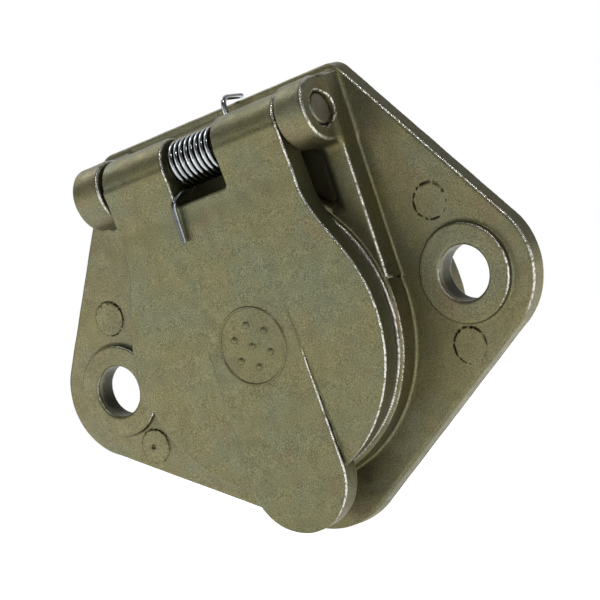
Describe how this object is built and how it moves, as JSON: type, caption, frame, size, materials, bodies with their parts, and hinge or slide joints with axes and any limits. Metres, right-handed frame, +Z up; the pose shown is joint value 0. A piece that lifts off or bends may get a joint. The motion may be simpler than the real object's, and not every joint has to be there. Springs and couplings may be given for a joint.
{
  "type": "trailer wiring connector",
  "caption": "Panel-mount trailer lighting socket with a die-cast bolt-on flange, a round contact barrel and a spring-closed hinged lid.",
  "frame": {"origin": "midway between the two bolt holes, in the plane of the panel that the flange's back rests on", "axes": "+X to the right as seen from the front, +Y into the panel, away from the lid, +Z up towards the lid's hinge"},
  "size_m": [0.093, 0.0404, 0.071],
  "materials": {
    "cast_housing": "die-cast zinc alloy with an olive yellow passivate, fine cast grain, satin",
    "cast_lid": "die-cast zinc alloy with an olive yellow passivate, finely blasted, satin",
    "rubber": "moulded black rubber, matt",
    "pin_steel": "dull steel with staked ends",
    "spring_steel": "bright zinc-plated spring wire",
    "insert": "dark moulded phenolic",
    "brass": "turned brass",
    "screw_steel": "zinc-plated steel"
  },
  "bodies": {
    "socket_body": {"housing": "cast_housing", "hinge_pin": "pin_steel", "lid_spring": "spring_steel", "contact_insert": "insert", "contact_pin_1": "brass", "contact_pin_2": "brass", "contact_pin_3": "brass", "contact_pin_4": "brass", "contact_pin_5": "brass", "contact_pin_6": "brass", "contact_pin_7": "brass", "terminal_screw_1": "screw_steel", "terminal_screw_2": "screw_steel", "terminal_screw_3": "screw_steel", "terminal_screw_4": "screw_steel", "terminal_screw_5": "screw_steel", "terminal_screw_6": "screw_steel", "terminal_screw_7": "screw_steel", "insert_screw_1": "screw_steel", "insert_screw_2": "screw_steel", "insert_screw_3": "screw_steel"},
    "lid_body": {"lid": "cast_lid", "lid_seal": "rubber"}
  },
  "joints": [
    {"name": "lid_hinge", "type": "hinge", "parent": "socket_body", "child": "lid_body", "pos_m": [0, -0.0093, 0.0305], "axis": [-1, 0, 0], "range_deg": [0, 110], "stiffness_Nm_per_rad": 0.045, "springref_deg": -57.3, "deforming": ["lid_spring"]}
  ]
}
